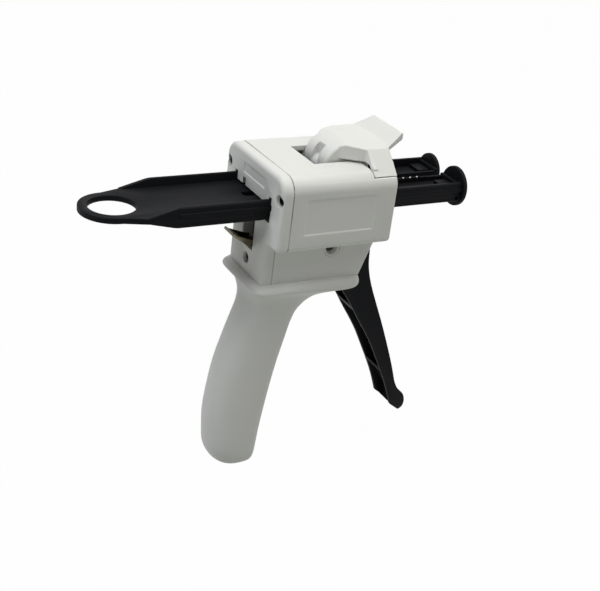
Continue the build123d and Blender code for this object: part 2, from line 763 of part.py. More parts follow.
nodes = {
    "main_housing": main_housing(),
    "rear_cover": rear_cover(),
    "cover_screws": cover_screws(),
    "guide_rails": guide_rails(),
    "grip": grip(),
    "plunger": plunger(),
    "large_disc": pressing_disc(-1, large_disc_r),
    "small_disc": pressing_disc(1, small_disc_r),
    "trigger": trigger_body(),
    "trigger_pin": trigger_pin(),
    "thrust_washers": thrust_washers(),
    "return_spring": return_spring(),
    "drive_pawl": drive_pawl(),
    "pawl_pin": pawl_pin(),
    "pawl_spring": pawl_spring(),
    "release_lever": release_lever(),
    "release_pin": release_pin(),
    "release_spring": release_spring(),
    "latch_lever": latch_lever(),
    "latch_pin": latch_pin(),
    "latch_spring": latch_spring(),
}
for name, shape in nodes.items():
    export_step(shape, f"parts/{name}.step")
    print(name, len(shape.solids()), round(shape.volume))
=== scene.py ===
import bpy
import bmesh
import math
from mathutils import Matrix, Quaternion, Vector


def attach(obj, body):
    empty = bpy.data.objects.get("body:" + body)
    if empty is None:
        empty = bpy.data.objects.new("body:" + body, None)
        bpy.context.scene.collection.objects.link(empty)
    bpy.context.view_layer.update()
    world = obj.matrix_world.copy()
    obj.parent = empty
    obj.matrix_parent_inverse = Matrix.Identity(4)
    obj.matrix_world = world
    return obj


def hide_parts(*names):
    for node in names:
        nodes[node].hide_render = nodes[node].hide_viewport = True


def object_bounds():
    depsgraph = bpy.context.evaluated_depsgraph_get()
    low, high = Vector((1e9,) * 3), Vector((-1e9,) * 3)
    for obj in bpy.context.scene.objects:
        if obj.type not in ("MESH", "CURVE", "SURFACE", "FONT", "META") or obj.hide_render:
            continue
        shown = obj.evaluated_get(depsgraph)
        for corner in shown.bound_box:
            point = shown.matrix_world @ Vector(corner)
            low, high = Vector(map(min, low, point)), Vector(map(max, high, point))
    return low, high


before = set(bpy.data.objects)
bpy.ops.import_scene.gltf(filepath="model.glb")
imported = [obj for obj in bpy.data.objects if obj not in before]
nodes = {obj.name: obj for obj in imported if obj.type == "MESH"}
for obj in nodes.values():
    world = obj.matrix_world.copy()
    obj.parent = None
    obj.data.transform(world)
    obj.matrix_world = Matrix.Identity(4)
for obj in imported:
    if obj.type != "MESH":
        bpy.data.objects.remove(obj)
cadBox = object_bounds()
mm = 0.001
print("frame loaded,", len(nodes), "nodes")


# Camera, at the photograph's angle

cameraView = {
    "place": (-298.54, -447.49, 199.99),
    "azimuth": -31.2,
    "elevation": 26.29,
    "roll": 7.33,
    "focalPixels": 1156.5,
    "imageWide": 600,
    "sensorWide": 36.0,
    "clip": (0.01, 20),
    "shift": (-0.5 / 600, 0.5 / 600),
}


def makeCamera(v):
    data = bpy.data.cameras.new("camera")
    camera = bpy.data.objects.new("camera", data)
    bpy.context.scene.collection.objects.link(camera)
    data.sensor_fit = "HORIZONTAL"
    data.sensor_width = v["sensorWide"]
    data.lens = v["focalPixels"] / v["imageWide"] * v["sensorWide"]
    data.clip_start, data.clip_end = v["clip"]
    a, e = math.radians(v["azimuth"]), math.radians(v["elevation"])
    back = Vector((math.sin(a) * math.cos(e), -math.cos(a) * math.cos(e), math.sin(e)))
    turn = (-back).to_track_quat("-Z", "Y") @ Quaternion((0, 0, 1), math.radians(v["roll"]))
    camera.rotation_mode = "QUATERNION"
    camera.rotation_quaternion = turn
    camera.location = Vector(v["place"]) * mm
    data.shift_x, data.shift_y = v["shift"]
    bpy.context.scene.camera = camera


makeCamera(cameraView)
bpy.context.scene.view_settings.view_transform = "Standard"
print("camera set")


# World, floor and lamps

studio = {
    "ambient": 0.2,
    "floorLow": 0.6,
    "floorWide": 4.0,
    "floorTone": (0.47, 0.485, 0.455, 1),
    "floorRoughness": 0.9,
    "floorGlow": 0.985,
    "lampAim": (-0.03, 0, -0.03),
}

lamps = {
    "overhead": {"place": (0.12, -0.05, 0.95), "size": 0.9, "power": 6.2, "colour": (1.0, 0.975, 0.93)},
    "left": {"place": (-0.8, 0.0, 0.74), "size": 0.6, "power": 3.8, "colour": (0.9, 0.95, 1.0)},
    "front": {"place": (0.32, -0.62, 0.9), "size": 0.5, "power": 1.35, "colour": (0.96, 1.0, 0.95)},
}


def backdropRays(tree):
    # 1 where the camera, a reflection or a clear material looks at the backdrop
    path = tree.nodes.new("ShaderNodeLightPath")
    total = path.outputs["Is Camera Ray"]
    for name in ("Is Glossy Ray", "Is Transmission Ray"):
        more = tree.nodes.new("ShaderNodeMath")
        more.operation = "MAXIMUM"
        tree.links.new(total, more.inputs[0])
        tree.links.new(path.outputs[name], more.inputs[1])
        total = more.outputs[0]
    return total


def makeWorld(v):
    world = bpy.data.worlds.new("studio")
    world.use_nodes = True
    tree = world.node_tree
    background = tree.nodes["Background"]
    background.inputs["Color"].default_value = (1, 1, 1, 1)
    strength = tree.nodes.new("ShaderNodeMapRange")
    strength.inputs["To Min"].default_value = v["ambient"]
    tree.links.new(backdropRays(tree), strength.inputs["Value"])
    tree.links.new(strength.outputs["Result"], background.inputs["Strength"])
    bpy.context.scene.world = world


def makeFloor(v):
    low = cadBox[0].z - v["floorLow"] * mm
    wide = v["floorWide"]
    mesh = bpy.data.meshes.new("floor")
    corners = [(-wide, -wide, low), (wide, -wide, low), (wide, wide, low), (-wide, wide, low)]
    mesh.from_pydata(corners, [], [(0, 1, 2, 3)])
    floor = bpy.data.objects.new("floor", mesh)
    bpy.context.scene.collection.objects.link(floor)
    material = bpy.data.materials.new("studio_floor")
    material.use_nodes = True
    tree = material.node_tree
    shader = tree.nodes["Principled BSDF"]
    shader.inputs["Base Color"].default_value = v["floorTone"]
    shader.inputs["Roughness"].default_value = v["floorRoughness"]
    shader.inputs["Specular IOR Level"].default_value = 0.0
    glow = tree.nodes.new("ShaderNodeEmission")
    glow.inputs["Color"].default_value = (1, 1, 1, 1)
    share = tree.nodes.new("ShaderNodeMapRange")
    share.inputs["To Max"].default_value = v["floorGlow"]
    mix = tree.nodes.new("ShaderNodeMixShader")
    tree.links.new(backdropRays(tree), share.inputs["Value"])
    tree.links.new(share.outputs["Result"], mix.inputs["Fac"])
    tree.links.new(shader.outputs["BSDF"], mix.inputs[1])
    tree.links.new(glow.outputs["Emission"], mix.inputs[2])
    tree.links.new(mix.outputs["Shader"], tree.nodes["Material Output"].inputs["Surface"])
    mesh.materials.append(material)


def makeLamps(rows, target):
    for name, v in rows.items():
        data = bpy.data.lights.new(name, "AREA")
        data.shape = "DISK"
        data.size = v["size"]
        data.energy = v["power"]
        data.color = v["colour"]
        lamp = bpy.data.objects.new(name, data)
        bpy.context.scene.collection.objects.link(lamp)
        lamp.location = v["place"]
        aim = Vector(target) - Vector(v["place"])
        lamp.rotation_euler = aim.to_track_quat("-Z", "Y").to_euler()


makeWorld(studio)
makeFloor(studio)
makeLamps(lamps, studio["lampAim"])
print("studio lit")


# Shader groups shared by the finishes

def newGroup(name, inputs, outputs):
    group = bpy.data.node_groups.new(name, "ShaderNodeTree")
    for label, kind, value in inputs:
        socket = group.interface.new_socket(label, in_out="INPUT", socket_type=kind)
        socket.default_value = value
    for label, kind in outputs:
        group.interface.new_socket(label, in_out="OUTPUT", socket_type=kind)
    enter = group.nodes.new("NodeGroupInput")
    leave = group.nodes.new("NodeGroupOutput")
    return group, enter, leave


def mathNode(tree, operation, first, second):
    node = tree.nodes.new("ShaderNodeMath")
    node.operation = operation
    for index, value in enumerate((first, second)):
        if isinstance(value, (int, float)):
            node.inputs[index].default_value = value
        else:
            tree.links.new(value, node.inputs[index])
    return node.outputs[0]


def noiseNode(tree, vector, scale, detail=2.0, roughness=0.5):
    node = tree.nodes.new("ShaderNodeTexNoise")
    node.inputs["Detail"].default_value = detail
    node.inputs["Roughness"].default_value = roughness
    tree.links.new(vector, node.inputs["Vector"])
    if isinstance(scale, (int, float)):
        node.inputs["Scale"].default_value = scale
    else:
        tree.links.new(scale, node.inputs["Scale"])
    return node.outputs["Fac"]


def shadeNode(tree, colour, factor, low, high):
    # colour made darker or lighter as factor goes from 0 to 1
    gain = tree.nodes.new("ShaderNodeMapRange")
    gain.inputs["To Min"].default_value = low
    gain.inputs["To Max"].default_value = high
    tree.links.new(factor, gain.inputs["Value"])
    scale = tree.nodes.new("ShaderNodeVectorMath")
    scale.operation = "SCALE"
    tree.links.new(colour, scale.inputs[0])
    tree.links.new(gain.outputs["Result"], scale.inputs["Scale"])
    return scale.outputs["Vector"]


mouldLook = {
    "flowScale": 28.0,
    "flowDetail": 3.0,
    "grainDetail": 2.0,
    "grainRoughness": 0.6,
    "shade": (0.965, 1.03),
    "bump": 0.05,
}

steelLook = {
    "lineDetail": 4.0,
    "lineRoughness": 0.6,
    "cloudScale": 160.0,
    "cloudDetail": 3.0,
    "stainFrom": (0.5, 0.75),
    "shade": (0.85, 1.15),
    "spread": 0.25,
    "bump": 0.02,
    "bumpStrength": 0.3,
}


def makeMouldGroup(v):
    # fine spark texture of an injection mould, with faint flow marks
    group, enter, leave = newGroup("mould_texture", [
        ("Colour", "NodeSocketColor", (0.8, 0.8, 0.8, 1)),
        ("Roughness", "NodeSocketFloat", 0.45),
        ("Spread", "NodeSocketFloat", 0.1),
        ("Grain", "NodeSocketFloat", 2600.0),
        ("Depth", "NodeSocketFloat", 0.1),
    ], [("Colour", "NodeSocketColor"), ("Roughness", "NodeSocketFloat"), ("Normal", "NodeSocketVector")])
    place = group.nodes.new("ShaderNodeTexCoord").outputs["Object"]
    flow = noiseNode(group, place, v["flowScale"], v["flowDetail"])
    grain = noiseNode(group, place, enter.outputs["Grain"], v["grainDetail"], v["grainRoughness"])
    group.links.new(shadeNode(group, enter.outputs["Colour"], flow, *v["shade"]), leave.inputs["Colour"])
    centred = mathNode(group, "SUBTRACT", flow, 0.5)
    wander = mathNode(group, "MULTIPLY", centred, enter.outputs["Spread"])
    speck = mathNode(group, "MULTIPLY", mathNode(group, "SUBTRACT", grain, 0.5), enter.outputs["Spread"])
    rough = mathNode(group, "ADD", enter.outputs["Roughness"], mathNode(group, "ADD", wander, speck))
    group.links.new(rough, leave.inputs["Roughness"])
    bump = group.nodes.new("ShaderNodeBump")
    bump.inputs["Distance"].default_value = v["bump"] * mm
    group.links.new(enter.outputs["Depth"], bump.inputs["Strength"])
    group.links.new(grain, bump.inputs["Height"])
    group.links.new(bump.outputs["Normal"], leave.inputs["Normal"])
    return group


def makeSteelGroup(v):
    # drawn steel: fine lines along one axis, with a slight stain
    group, enter, leave = newGroup("drawn_steel", [
        ("Colour", "NodeSocketColor", (0.6, 0.6, 0.6, 1)),
        ("Stain", "NodeSocketColor", (0.3, 0.25, 0.2, 1)),
        ("Stretch", "NodeSocketVector", (400.0, 4000.0, 4000.0)),
        ("Roughness", "NodeSocketFloat", 0.3),
    ], [("Colour", "NodeSocketColor"), ("Roughness", "NodeSocketFloat"), ("Normal", "NodeSocketVector")])
    place = group.nodes.new("ShaderNodeTexCoord").outputs["Object"]
    pull = group.nodes.new("ShaderNodeVectorMath")
    pull.operation = "MULTIPLY"
    group.links.new(place, pull.inputs[0])
    group.links.new(enter.outputs["Stretch"], pull.inputs[1])
    lines = noiseNode(group, pull.outputs["Vector"], 1.0, v["lineDetail"], v["lineRoughness"])
    cloud = noiseNode(group, place, v["cloudScale"], v["cloudDetail"])
    mix = group.nodes.new("ShaderNodeMix")
    mix.data_type = "RGBA"
    patch = group.nodes.new("ShaderNodeMapRange")
    patch.inputs["From Min"].default_value, patch.inputs["From Max"].default_value = v["stainFrom"]
    group.links.new(cloud, patch.inputs["Value"])
    group.links.new(patch.outputs["Result"], mix.inputs["Factor"])
    group.links.new(enter.outputs["Colour"], mix.inputs["A"])
    group.links.new(enter.outputs["Stain"], mix.inputs["B"])
    group.links.new(shadeNode(group, mix.outputs["Result"], lines, *v["shade"]), leave.inputs["Colour"])
    wander = mathNode(group, "MULTIPLY", mathNode(group, "SUBTRACT", lines, 0.5), v["spread"])
    group.links.new(mathNode(group, "ADD", enter.outputs["Roughness"], wander), leave.inputs["Roughness"])
    bump = group.nodes.new("ShaderNodeBump")
    bump.inputs["Distance"].default_value = v["bump"] * mm
    bump.inputs["Strength"].default_value = v["bumpStrength"]
    group.links.new(lines, bump.inputs["Height"])
    group.links.new(bump.outputs["Normal"], leave.inputs["Normal"])
    return group


mouldGroup = makeMouldGroup(mouldLook)
steelGroup = makeSteelGroup(steelLook)


finishLook = {
    "body_plastic": {
        "Colour": (0.765, 0.765, 0.735, 1), "Roughness": 0.48,
        "Spread": 0.12, "Grain": 2600.0, "Depth": 0.12},
    "black_plastic": {
        "Colour": (0.0052, 0.0055, 0.0068, 1), "Roughness": 0.55,
        "Spread": 0.14, "Grain": 3400.0, "Depth": 0.05},
    "bare_steel": {
        "Colour": (0.17, 0.155, 0.105, 1), "Stain": (0.08, 0.07, 0.045, 1),
        "Stretch": (300.0, 3600.0, 3600.0), "Roughness": 0.3},
    "spring_steel": {
        "Colour": (0.42, 0.42, 0.43, 1), "Stain": (0.24, 0.22, 0.20, 1),
        "Stretch": (2500.0, 500.0, 2500.0), "Roughness": 0.28},
    # dark steel screws, their colour taken darker still so that they paint the shade inside their deep
    # recesses
    "dark_steel": {
        "Colour": (0.026, 0.026, 0.025, 1), "Stain": (0.012, 0.011, 0.01, 1),
        "Stretch": (3000.0, 900.0, 900.0), "Roughness": 0.3},
}


def newFinish(name, group, values):
    material = bpy.data.materials.new(name)
    material.use_nodes = True
    tree = material.node_tree
    shader = tree.nodes["Principled BSDF"]
    node = tree.nodes.new("ShaderNodeGroup")
    node.node_tree = group
    for label, value in values.items():
        node.inputs[label].default_value = value
    tree.links.new(node.outputs["Colour"], shader.inputs["Base Color"])
    tree.links.new(node.outputs["Roughness"], shader.inputs["Roughness"])
    tree.links.new(node.outputs["Normal"], shader.inputs["Normal"])
    return material, shader


def makePlastic(name, values, specular):
    material, shader = newFinish(name, mouldGroup, values)
    shader.inputs["Specular IOR Level"].default_value = specular
    return material


def makeSteel(name, values):
    material, shader = newFinish(name, steelGroup, values)
    shader.inputs["Metallic"].default_value = 1.0
    return material


finishes = {
    "body_plastic": makePlastic("off_white_plastic", finishLook["body_plastic"], specular=0.4),
    "black_plastic": makePlastic("black_satin_plastic", finishLook["black_plastic"], specular=0.08),
    "bare_steel": makeSteel("bare_steel_strip", finishLook["bare_steel"]),
    "spring_steel": makeSteel("spring_wire", finishLook["spring_steel"]),
    # the screws' dark steel also paints the shade of the recesses they sit in
    "dark_steel": makeSteel("blackened_screw", finishLook["dark_steel"]),
}
print("finishes made")


# Mesh helpers

weld = 1e-6  # metres between two points that are one
flatAngle = 0.4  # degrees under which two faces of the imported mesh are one
spare = 1  # how far a cutter runs past its piece


def newPiece(name, mesh):
    piece = bpy.data.objects.new(name, mesh)
    bpy.context.scene.collection.objects.link(piece)
    return piece


def pieceOf(name, shape):
    # a bmesh made into an object, with its faces turned outwards
    bmesh.ops.remove_doubles(shape, verts=shape.verts, dist=weld)
    bmesh.ops.recalc_face_normals(shape, faces=shape.faces)
    mesh = bpy.data.meshes.new(name)
    shape.to_mesh(mesh)
    shape.free()
    return newPiece(name, mesh)


def bakeModifiers(piece):
    graph = bpy.context.evaluated_depsgraph_get()
    mesh = bpy.data.meshes.new_from_object(piece.evaluated_get(graph))
    piece.modifiers.clear()
    piece.data = mesh
    mesh.name = piece.name
    return piece


def smoothUnder(piece, angle):
    # smooth faces, with a crease where two of them meet at more than the angle
    for face in piece.data.polygons:
        face.use_smooth = True
    piece.data.set_sharp_from_angle(angle=math.radians(angle))
    return piece


def softEdges(piece, width, steps=2, angle=32):
    # narrow rounds on the edges that are sharper than the angle
    bevel = piece.modifiers.new("soft_edges", "BEVEL")
    bevel.width = width * mm
    bevel.segments = steps
    bevel.limit_method = "ANGLE"
    bevel.angle_limit = math.radians(angle)
    bevel.use_clamp_overlap = False
    bevel.loop_slide = False
    bevel.harden_normals = True
    return piece


def copyOf(node, name):
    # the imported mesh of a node, with its flat faces whole again
    mesh = bpy.data.meshes.new(name)
    shape = bmesh.new()
    shape.from_mesh(nodes[node].data)
    bmesh.ops.remove_doubles(shape, verts=shape.verts, dist=weld)
    bmesh.ops.dissolve_limit(shape, angle_limit=math.radians(flatAngle), verts=shape.verts, edges=shape.edges)
    for face in shape.faces:
        face.smooth = True
    shape.to_mesh(mesh)
    shape.free()
    return newPiece(name, mesh)


def rounded(piece, voxel, passes, share=0.5):
    # a moulded part's soft corners: an even skin, slightly relaxed
    skin = piece.modifiers.new("skin", "REMESH")
    skin.mode = "VOXEL"
    skin.voxel_size = voxel * mm
    skin.use_smooth_shade = True
    relax = piece.modifiers.new("relax", "SMOOTH")
    relax.factor = share
    relax.iterations = passes
    return bakeModifiers(piece)


def carve(piece, *cutters, join=False):
    # cutters taken off the piece, or joined to it, and removed
    for cutter in cutters:
        step = piece.modifiers.new("carve", "BOOLEAN")
        step.operation = "UNION" if join else "DIFFERENCE"
        step.solver = "EXACT"
        step.object = cutter
    bakeModifiers(piece)
    for cutter in cutters:
        bpy.data.objects.remove(cutter)
    return piece


def blockShape(x0, x1, y0, y1, z0, z1):
    shape = bmesh.new()
    bmesh.ops.create_cube(shape, size=1.0)
    for vert in shape.verts:
        vert.co = Vector(((x0 + x1) / 2 + vert.co.x * (x1 - x0), (y0 + y1) / 2 + vert.co.y * (y1 - y0),
                          (z0 + z1) / 2 + vert.co.z * (z1 - z0))) * mm
    return shape


def blockPiece(*corners):
    return pieceOf("cutter", blockShape(*corners))


def skinRings(shape, rings):
    # faces between rings of points, with both ends closed
    rows = [[shape.verts.new(Vector(point) * mm) for point in ring] for ring in rings]
    count = len(rows[0])
    for low, high in zip(rows, rows[1:]):
        for n in range(count):
            shape.faces.new((low[n], low[(n + 1) % count], high[(n + 1) % count], high[n]))
    for row in (rows[0], rows[-1]):
        middle = shape.verts.new(sum((vert.co for vert in row), Vector()) / count)
        for n in range(count):
            shape.faces.new((row[n], row[(n + 1) % count], middle))
    return shape


def turned(profile, y, z, steps=64):
    # a shape turned on an axis along X: places along it with their radii
    turns = [2 * math.pi * n / steps for n in range(steps)]
    rings = [[(x, y + r * math.cos(t), z + r * math.sin(t)) for t in turns] for x, r in profile]
    return skinRings(bmesh.new(), rings)


def spread(values, steps):
    # smooth run through the rows of values
    rows, last = [], len(values) - 1
    for n in range(last):
        a, b, c, d = values[max(n - 1, 0)], values[n], values[n + 1], values[min(n + 2, last)]
        for k in range(steps):
            t = k / steps
            rows.append([0.5 * (2 * q + (r - p) * t + (2 * p - 5 * q + 4 * r - s) * t * t
                                + (3 * q - p - 3 * r + s) * t ** 3) for p, q, r, s in zip(a, b, c, d)])
    rows.append(list(values[-1]))
    return rows


def settle(piece, body, slotName, *stoodFor):
    # a finished piece given its finish, its body and the node it stands for
    piece.data.materials.clear()
    piece.data.materials.append(finishes[slotName])
    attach(piece, body)
    if stoodFor:
        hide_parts(*stoodFor)
    print("piece", piece.name, len(piece.data.polygons), "faces")


# Grip: rings from the collar's top down to the heel

gripShape = {
    # height, rear, front, half thickness, squareness of the section, drop towards the front
    "rings": [
        (-40.2, -59.5, -8.4, 16.9, 8.0, 0.0),
        (-40.0, -61.6, -7.2, 18.4, 8.0, 0.0),
        (-40.5, -63.0, -6.3, 19.8, 8.0, 0.0),
        (-41.5, -64.2, -5.4, 20.9, 8.0, 0.1),
        (-42.9, -64.8, -5.0, 21.7, 8.0, 0.5),
        (-43.9, -64.7, -5.0, 21.6, 7.8, 1.3),
        (-44.5, -63.8, -5.6, 20.8, 7.0, 2.3),
        (-45.0, -62.6, -7.6, 19.6, 5.6, 2.7),
        (-46.6, -61.7, -13.2, 18.2, 4.4, 1.9),
        (-49.6, -61.2, -21.0, 16.5, 3.3, 0.6),
        (-54.0, -61.0, -26.4, 14.7, 2.7, 0.0),
        (-60.0, -62.1, -31.4, 13.3, 2.5, 0.0),
        (-67.0, -64.7, -34.0, 12.4, 2.5, 0.0),
        (-76.0, -67.7, -36.0, 12.1, 2.5, 0.0),
        (-90.5, -71.8, -39.2, 12.0, 2.5, 0.0),
        (-104.0, -74.0, -41.6, 12.0, 2.5, 0.0),
        (-118.0, -75.4, -43.7, 12.0, 2.5, 0.0),
        (-130.0, -74.8, -45.3, 12.0, 2.5, 0.0),
        (-138.0, -73.9, -46.0, 11.8, 2.5, 0.0),
        (-143.5, -71.5, -46.4, 11.0, 2.5, 0.0),
        (-146.4, -68.6, -46.9, 9.9, 2.5, 0.0),
        (-147.4, -66.8, -47.3, 9.0, 2.5, 0.0),
        (-147.6, -65.4, -48.4, 8.0, 2.5, 0.0),
    ],
    "between": 5,
    "round": 96,
    "flare": 0.02,
    "wall": 2.8,
    "hollow": (-50.0, -136.0),
    # corners of the neck's mouth, the trigger's slot and the spigot, on X, Y and Z
    "mouth": (-49.1, -27.0, -10.5, 10.5, -51.5, -39.0),
    "slot": (-27.5, 0.0, -11.0, 11.0, -59.3, -39.0),
    "spigot": (-51.5, -31.0, -15.15, 15.15, -41.3, -36.9),
    "spigotWall": 2.4,
    "crease": 38,
}


def gripRing(values, v, inset=0.0):
    # one section, between an ellipse and a rectangle by its squareness
    height, back, front, half, power, drop = values
    middle, reach = (back + front) / 2, (front - back) / 2 - inset
    points = []
    for n in range(v["round"]):
        turn = 2 * math.pi * n / v["round"]
        c, s = math.cos(turn), math.sin(turn)
        along = math.copysign(abs(c) ** (2 / power), c)
        across = math.copysign(abs(s) ** (2 / power), s)
        wide = (half - inset) * (1 - v["flare"] * along)
        points.append((middle + reach * along, wide * across, height - drop * (1 + along) / 2))
    return points


def makeGrip(v):
    rings = spread(v["rings"], v["between"])
    grip = pieceOf("grip_moulding", skinRings(bmesh.new(), [gripRing(ring, v) for ring in rings]))
    inner = [ring for ring in rings if v["hollow"][1] < ring[0] < v["hollow"][0]]
    hollow = pieceOf("cutter", skinRings(bmesh.new(), [gripRing(ring, v, v["wall"]) for ring in inner]))
    carve(grip, hollow, blockPiece(*v["mouth"]), blockPiece(*v["slot"]))
    x0, x1, y0, y1, z0, z1 = v["spigot"]
    t = v["spigotWall"]
    inside = blockPiece(x0 + t, x1 + spare, y0 + t, y1 - t, z0 - spare, z1 + spare)
    carve(grip, carve(blockPiece(x0, x1, y0, y1, z0, z1), inside), join=True)
    smoothUnder(grip, v["crease"])
    settle(grip, "housing", "body_plastic", "grip")


makeGrip(gripShape)


# Latch: moulded in one, with soft corners

latchShape = {
    "voxel": 0.3,
    "passes": 2,
    "ribs": (-19.0, -2.2, 8.2, 10.4, 15.6, 23.0),  # corners of one, the other is its mirror
}


def makeLatch(v):
    latch = copyOf("latch_lever", "cartridge_latch")
    x0, x1, y0, y1, z0, z1 = v["ribs"]
    carve(latch, blockPiece(x0, x1, y0, y1, z0, z1), blockPiece(x0, x1, -y1, -y0, z0, z1), join=True)
    rounded(latch, v["voxel"], v["passes"])
    settle(latch, "latch", "body_plastic", "latch_lever")


makeLatch(latchShape)


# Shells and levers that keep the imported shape, with softened edges

plainCopies = {
    # piece, body, finish and width of the soft edges
    "main_housing": ("housing_shell", "housing", "body_plastic", 0.35),
    "rear_cover": ("rear_cover_shell", "housing", "body_plastic", 0.13),
    "plunger": ("plunger_channel", "plunger", "black_plastic", 0.25),
    "trigger": ("trigger_blade", "trigger", "black_plastic", 0.22),
}

recesses = {
    # side panels and label: axis they face, their floor's place on it, lowest and highest corners
    "main_housing": {"axis": 1, "floor": 29.6, "low": (-48.2, -30.0, -10.3), "high": (-10.9, 30.0, 7.5)},
    "rear_cover": {"axis": 0, "floor": 60.6, "low": (-61.0, -11.4, 6.6), "high": (-60.0, 11.4, 12.0)},
}
recessSlope = 0.6
recessNear = 0.02  # how far a corner may be from the floor it counts to


def slopeRecess(piece, v):
    # the walls of a shallow recess leaned back, its floor's corners drawn in
    others = [axis for axis in range(3) if axis != v["axis"]]
    for vert in piece.data.vertices:
        place = vert.co / mm
        inside = all(low < p < high for low, p, high in zip(v["low"], place, v["high"]))
        if inside and abs(abs(place[v["axis"]]) - v["floor"]) < recessNear:
            for axis in others:
                middle = (v["low"][axis] + v["high"][axis]) / 2
                vert.co[axis] -= math.copysign(recessSlope, place[axis] - middle) * mm


for node, (name, body, slotName, width) in plainCopies.items():
    piece = copyOf(node, name)
    if node in recesses:
        slopeRecess(piece, recesses[node])
    softEdges(piece, width)
    bakeModifiers(piece)
    settle(piece, body, slotName, node)


# Release lever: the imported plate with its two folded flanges

leverShape = {
    "half": 5.0,
    "sheet": 0.8,
    "flange": [
        (-69.4, -18.9), (-68.2, -19.2), (-61.2, -21.7), (-57.8, -22.4), (-57.8, -25.3), (-61.5, -24.8)],
    "soft": 0.15,
}


def makeLever(v):
    lever = copyOf("release_lever", "release_lever_plate")
    for y0, y1 in ((-v["half"], v["sheet"] - v["half"]), (v["half"] - v["sheet"], v["half"])):
        rings = [[(x, y, z) for x, z in v["flange"]] for y in (y0, y1)]
        carve(lever, pieceOf("cutter", skinRings(bmesh.new(), rings)), join=True)
    softEdges(lever, v["soft"])
    bakeModifiers(lever)
    settle(lever, "release", "bare_steel", "release_lever")


makeLever(leverShape)


# Pressing discs, turned, with the peg that snaps into the rod

discShape = {
    "large": {"y": -11.46, "radius": 10.0},
    "small": {"y": 11.46, "radius": 8.49},
    "front": 48.1,
    "thick": 2.1,
    "round": 0.45,
    "roundSteps": 5,
    "middle": 0.5,
    "steps": 96,
    "crease": 30,
    "peg": (37.3, 46.5, 4.5, 0.3, 1.9),  # back, front, half width, underside, top
}


def makeDisc(name, node, v, d):
    x1, x0, r, e = d["front"], d["front"] - d["thick"], v["radius"], d["round"]
    arc = [math.pi / 2 * n / d["roundSteps"] for n in range(d["roundSteps"] + 1)]
    profile = [(x0, r * d["middle"]), (x0, r - e)]
    profile += [(x0 + e - e * math.cos(t), r - e + e * math.sin(t)) for t in arc[1:]]
    profile += [(x1 - e + e * math.sin(t), r - e + e * math.cos(t)) for t in arc]
    profile.append((x1, r * d["middle"]))
    disc = pieceOf(name, turned(profile, v["y"], 0.0, d["steps"]))
    p0, p1, half, low, high = d["peg"]
    carve(disc, blockPiece(p0, p1, v["y"] - half, v["y"] + half, low, high), join=True)
    smoothUnder(disc, d["crease"])
    settle(disc, "plunger", "black_plastic", node)


makeDisc("pressing_disc_large", "large_disc", discShape["large"], discShape)
makeDisc("pressing_disc_small", "small_disc", discShape["small"], discShape)


# Studs on the inner edge of the near rod, in pale steel so that their tops paint the glints (painted
# highlight)

studGlintShape = {
    "first": 20.9,
    "pitch": 4.1,
    "count": 3,
    "y": -3.4,
    "low": 2.4,
    "top": 3.2,
    "radius": 0.62,
    "tip": [(0.35, 1.0), (0.12, 0.85), (0, 0.5)],  # how far under the top, share of the radius
    "steps": 20,
    "crease": 50,
}


def makeStudGlints(v):
    studs = bmesh.new()
    turns = [2 * math.pi * n / v["steps"] for n in range(v["steps"])]
    profile = [(v["low"], 1.0)] + [(v["top"] - under, share) for under, share in v["tip"]]
    for n in range(v["count"]):
        x = v["first"] + n * v["pitch"]
        skinRings(studs, [[(x + v["radius"] * r * math.cos(t), v["y"] + v["radius"] * r * math.sin(t), z)
                           for t in turns] for z, r in profile])
    # pale steel instead of the plunger's black paints a highlight on each stud
    settle(smoothUnder(pieceOf("rod_studs", studs), v["crease"]), "plunger", "spring_steel")


makeStudGlints(studGlintShape)


# Geometry Nodes trees for what repeats

def newTree(name, inputs):
    tree = bpy.data.node_groups.new(name, "GeometryNodeTree")
    tree.interface.new_socket("Geometry", in_out="INPUT", socket_type="NodeSocketGeometry")
    for label, kind in inputs:
        tree.interface.new_socket(label, in_out="INPUT", socket_type=kind)
    tree.interface.new_socket("Geometry", in_out="OUTPUT", socket_type="NodeSocketGeometry")
    return tree, tree.nodes.new("NodeGroupInput"), tree.nodes.new("NodeGroupOutput")


def closeTree(tree, enter, leave, geometry):
    # the copies made real and given their finish
    real = tree.nodes.new("GeometryNodeRealizeInstances")
    finish = tree.nodes.new("GeometryNodeSetMaterial")
    tree.links.new(geometry, real.inputs["Geometry"])
    tree.links.new(real.outputs["Geometry"], finish.inputs["Geometry"])
    tree.links.new(enter.outputs["Finish"], finish.inputs["Material"])
    tree.links.new(finish.outputs["Geometry"], leave.inputs["Geometry"])


def grow(name, tree, values, base=None):
    # a piece grown by a tree, its inputs set by their identifiers
    piece = newPiece(name, base or bpy.data.meshes.new(name))
    step = piece.modifiers.new("grow", "NODES")
    step.node_group = tree
    for item in tree.interface.items_tree:
        if item.in_out == "INPUT" and item.name in values:
            step[item.identifier] = values[item.name]
    return bakeModifiers(piece)


coilShape = {"steps": 40, "wireSteps": 12}


